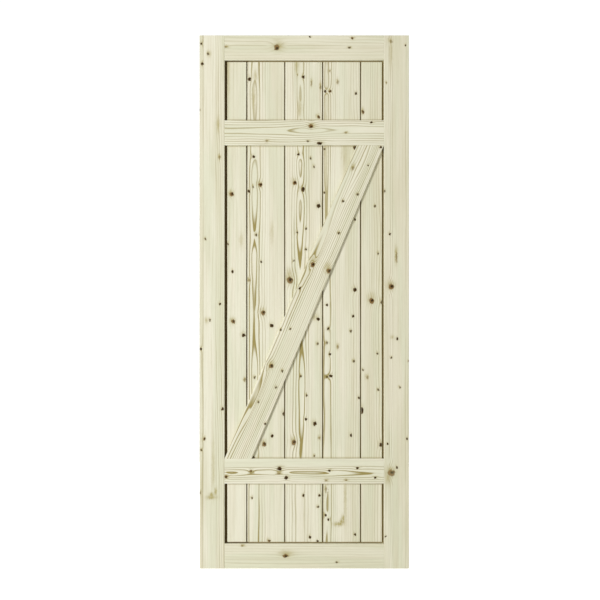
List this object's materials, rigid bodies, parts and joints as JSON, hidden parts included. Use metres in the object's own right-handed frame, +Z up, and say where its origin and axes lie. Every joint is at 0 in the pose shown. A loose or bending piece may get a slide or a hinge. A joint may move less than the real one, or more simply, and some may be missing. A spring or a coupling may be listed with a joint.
{
  "type": "barn door",
  "caption": "Solid wood barn door slab: grooved frame around vertical tongue-and-groove planks, with cross rails and a diagonal brace laid on both faces.",
  "frame": {"origin": "middle of the door's bottom edge, at mid thickness", "axes": "+X to the right seen from the front, +Y to the back (the front faces -Y), +Z up along the stiles"},
  "size_m": [0.838, 0.035, 2.134],
  "materials": {
    "stile_wood": "planed and sanded, unfinished",
    "rail_wood": "planed and sanded, unfinished",
    "plank_wood": "planed and sanded, unfinished",
    "cross_rail_wood": "planed and sanded, unfinished",
    "brace_wood": "planed and sanded, unfinished",
    "dowel_wood": "turned hardwood"
  },
  "bodies": {
    "root": {"left_stile": "stile_wood", "right_stile": "stile_wood", "top_rail": "rail_wood", "bottom_rail": "rail_wood", "plank_1": "plank_wood", "plank_2": "plank_wood", "plank_3": "plank_wood", "plank_4": "plank_wood", "plank_5": "plank_wood", "front_upper_cross_rail": "cross_rail_wood", "front_lower_cross_rail": "cross_rail_wood", "back_upper_cross_rail": "cross_rail_wood", "back_lower_cross_rail": "cross_rail_wood", "front_brace": "brace_wood", "back_brace": "brace_wood", "top_left_dowels": "dowel_wood", "top_right_dowels": "dowel_wood", "bottom_left_dowels": "dowel_wood", "bottom_right_dowels": "dowel_wood"}
  },
  "joints": []
}
